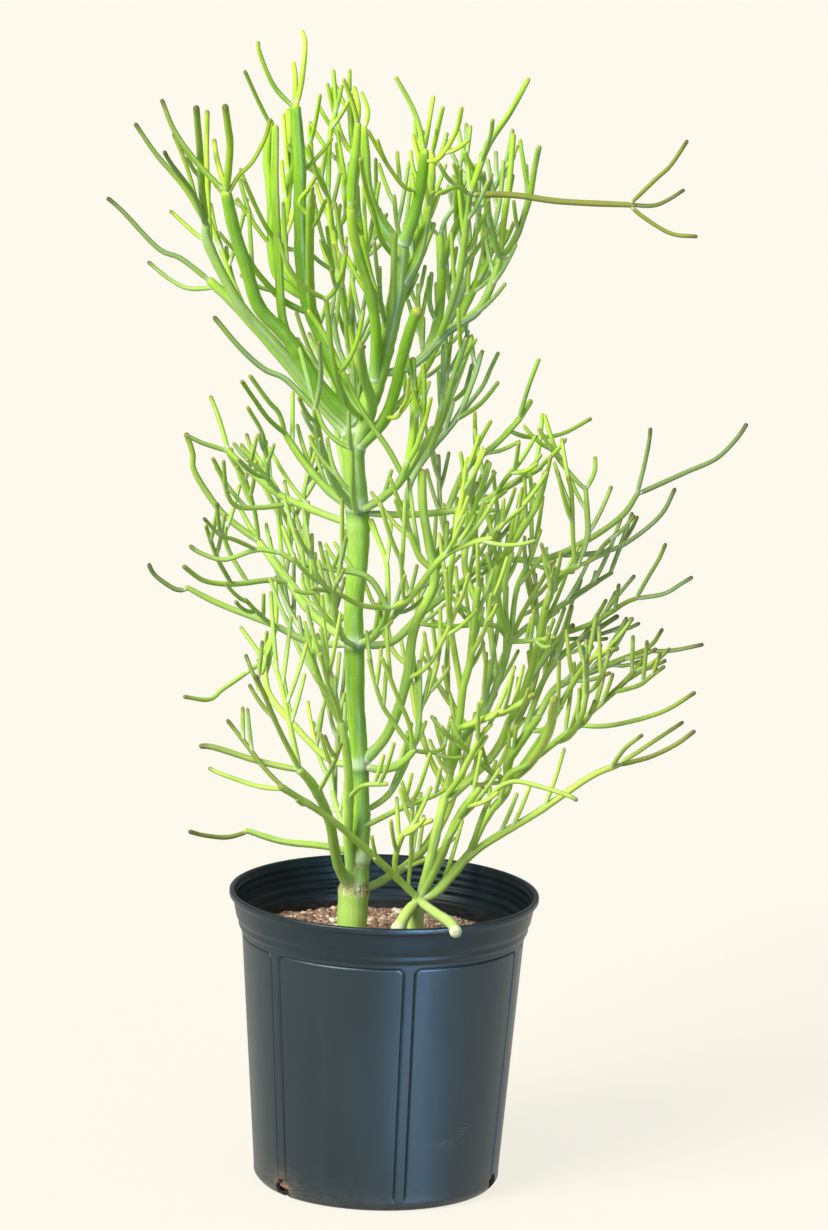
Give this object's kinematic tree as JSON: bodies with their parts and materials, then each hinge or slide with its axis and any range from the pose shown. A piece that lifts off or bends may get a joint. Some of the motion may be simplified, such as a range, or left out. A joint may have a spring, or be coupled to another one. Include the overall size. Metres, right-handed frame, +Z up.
{
  "type": "potted pencil cactus",
  "caption": "Pencil cactus: a tall leafless green succulent of slim forking stems with a bushy plant beside it, in gritty soil in a round ribbed nursery pot.",
  "frame": {"origin": "centre of the pot's underside, on the surface that it stands on", "axes": "+Z up along the pot's axis; -Y towards the front of the plant, as it is seen in the picture; +X to the right in that view"},
  "size_m": [0.5286, 0.3611, 0.9543],
  "materials": {
    "pot_plastic": "satin",
    "soil": "matte",
    "tall_stems": "satin",
    "bushy_stems": "satin"
  },
  "bodies": {
    "root": {"nursery_pot": "pot_plastic", "potting_soil": "soil", "tall_plant": "tall_stems", "bushy_plant": "bushy_stems"}
  },
  "joints": []
}
